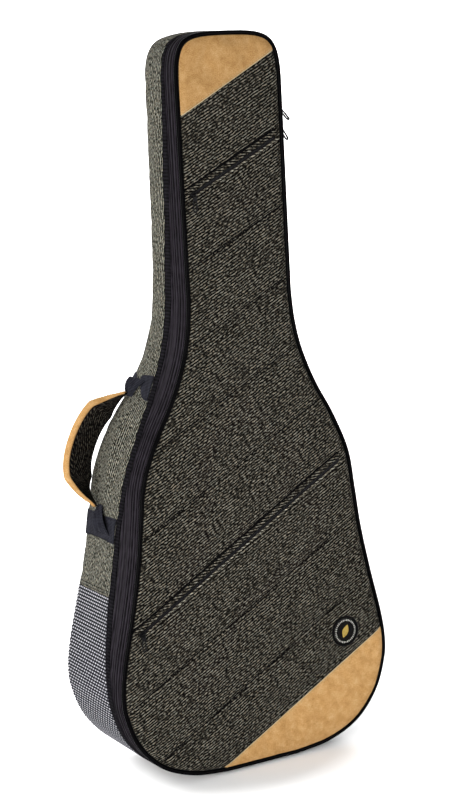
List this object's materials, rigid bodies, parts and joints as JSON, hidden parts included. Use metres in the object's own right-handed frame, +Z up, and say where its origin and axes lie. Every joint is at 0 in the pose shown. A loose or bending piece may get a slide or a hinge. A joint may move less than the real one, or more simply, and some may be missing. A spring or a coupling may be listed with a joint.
{
  "type": "padded gig bag",
  "caption": "Padded guitar gig bag with hinged front lid, zips with sliders and pulls, pockets, carry handle and shoulder straps.",
  "frame": {"origin": "middle of the flat bottom that the bag stands on", "axes": "+X the bag's right seen from the front, +Y its back, +Z up along its length"},
  "size_m": [0.4587, 0.2037, 1.08],
  "materials": {
    "side_tweed": "coarse salt-and-pepper tweed",
    "tweed": "twill tweed, charcoal with pale flecks",
    "handle_tweed": "dark flecked tweed",
    "suede": "tan nubuck, matte",
    "ribbed_patch": "ribbed grey and black nylon",
    "foam": "closed-cell foam padding",
    "plush": "short-pile plush lining",
    "black_binding": "woven nylon, matte",
    "piping": "smooth piping cord",
    "zip_tape": "fine woven tape",
    "zip_coil": "nylon coil",
    "webbing": "nylon webbing",
    "strap_pad": "padded mesh",
    "pouch_lining": "thin nylon",
    "zip_metal": "black enamelled zinc",
    "badge_black": "matte disc",
    "badge_rim": "gloss ring",
    "badge_gold": "satin gold",
    "buckle": "moulded"
  },
  "bodies": {
    "case": {"back_skin": "tweed", "back_foam": "foam", "back_lining": "plush", "gusset_skin": "side_tweed", "bottom_patch": "ribbed_patch", "side_foam": "foam", "side_lining": "plush", "rear_piping": "piping", "binding_band": "black_binding", "base_tape": "zip_tape", "base_coil": "zip_coil", "hinge_strip_base": "black_binding", "web_band_upper": "webbing", "handle_loop_upper": "webbing", "web_band_lower": "webbing", "handle_loop_lower": "webbing", "strap_yoke": "black_binding", "shoulder_strap_left": "strap_pad", "strap_web_left": "webbing", "strap_tab_left": "black_binding", "shoulder_strap_right": "strap_pad", "strap_web_right": "webbing", "strap_tab_right": "black_binding", "hanging_loop": "webbing", "neck_cradle": "plush", "neck_strap": "black_binding"},
    "lid": {"lid_skin": "tweed", "top_suede": "suede", "bottom_suede": "suede", "lid_foam": "foam", "lid_rim_foam": "foam", "lid_lining": "plush", "front_piping": "piping", "lid_tape": "zip_tape", "lid_coil": "zip_coil", "hinge_strip_lid": "black_binding", "upper_pocket_tape": "zip_tape", "upper_pocket_coil": "zip_coil", "upper_pocket_welt": "tweed", "upper_pocket_pouch": "pouch_lining", "lower_pocket_tape": "zip_tape", "lower_pocket_coil": "zip_coil", "lower_pocket_welt": "tweed", "lower_pocket_pouch": "pouch_lining", "badge_base": "badge_black", "badge_rim": "badge_rim", "badge_leaf": "badge_gold"},
    "upper_main_slider": {"upper_main_slider": "zip_metal"},
    "upper_main_pull": {"upper_main_pull": "zip_metal"},
    "lower_main_slider": {"lower_main_slider": "zip_metal"},
    "lower_main_pull": {"lower_main_pull": "zip_metal"},
    "upper_pocket_slider": {"upper_pocket_slider": "zip_metal"},
    "upper_pocket_pull": {"upper_pocket_pull": "zip_metal"},
    "lower_pocket_slider": {"lower_pocket_slider": "zip_metal"},
    "lower_pocket_pull": {"lower_pocket_pull": "zip_metal"},
    "carry_handle": {"handle_leather": "suede", "handle_core": "handle_tweed"},
    "ladder_lock_left": {"ladder_lock_left": "buckle"},
    "ladder_lock_right": {"ladder_lock_right": "buckle"}
  },
  "joints": [
    {"name": "lid_hinge", "type": "hinge", "parent": "case", "child": "lid", "pos_m": [0.2315, -0.067, 0.2], "axis": [0, 0, 1], "range_deg": [0, 170]},
    {"name": "upper_main_zip", "type": "slide", "parent": "case", "child": "upper_main_slider", "axis": [0, 0, 1], "range_m": [0, 0.02]},
    {"name": "upper_main_pull_swing", "type": "hinge", "parent": "upper_main_slider", "child": "upper_main_pull", "pos_m": [0.0947, -0.067, 0.971], "axis": [0, -1, 0], "range_deg": [0, 115]},
    {"name": "lower_main_zip", "type": "slide", "parent": "case", "child": "lower_main_slider", "axis": [0, 0, -1], "range_m": [0, 0.225]},
    {"name": "lower_main_pull_swing", "type": "hinge", "parent": "lower_main_slider", "child": "lower_main_pull", "pos_m": [0.0947, -0.067, 0.945], "axis": [0, -1, 0], "range_deg": [0, 50]},
    {"name": "upper_pocket_zip", "type": "slide", "parent": "lid", "child": "upper_pocket_slider", "axis": [0.8888, 0, 0.4584], "range_m": [0, 0.1541]},
    {"name": "upper_pocket_pull_swing", "type": "hinge", "parent": "upper_pocket_slider", "child": "upper_pocket_pull", "pos_m": [-0.06898, -0.0997, 0.85368], "axis": [-1, 0, 0], "range_deg": [0, 150]},
    {"name": "lower_pocket_zip", "type": "slide", "parent": "lid", "child": "lower_pocket_slider", "axis": [0.8616, 0, 0.5075], "range_m": [0, 0.3988]},
    {"name": "lower_pocket_pull_swing", "type": "hinge", "parent": "lower_pocket_slider", "child": "lower_pocket_pull", "pos_m": [-0.19132, -0.0997, 0.23629], "axis": [-1, 0, 0], "range_deg": [0, 150]},
    {"name": "carry_handle_swing", "type": "hinge", "parent": "case", "child": "carry_handle", "pos_m": [-0.127, 0.031, 0.567], "axis": [0.353, 0, 0.9356], "range_deg": [0, 30]},
    {"name": "ladder_lock_left_slide", "type": "slide", "parent": "case", "child": "ladder_lock_left", "axis": [-0.2045, 0.0381, -0.9781], "range_m": [0, 0.07]},
    {"name": "ladder_lock_right_slide", "type": "slide", "parent": "case", "child": "ladder_lock_right", "axis": [0.2045, 0.0381, -0.9781], "range_m": [0, 0.07]}
  ]
}
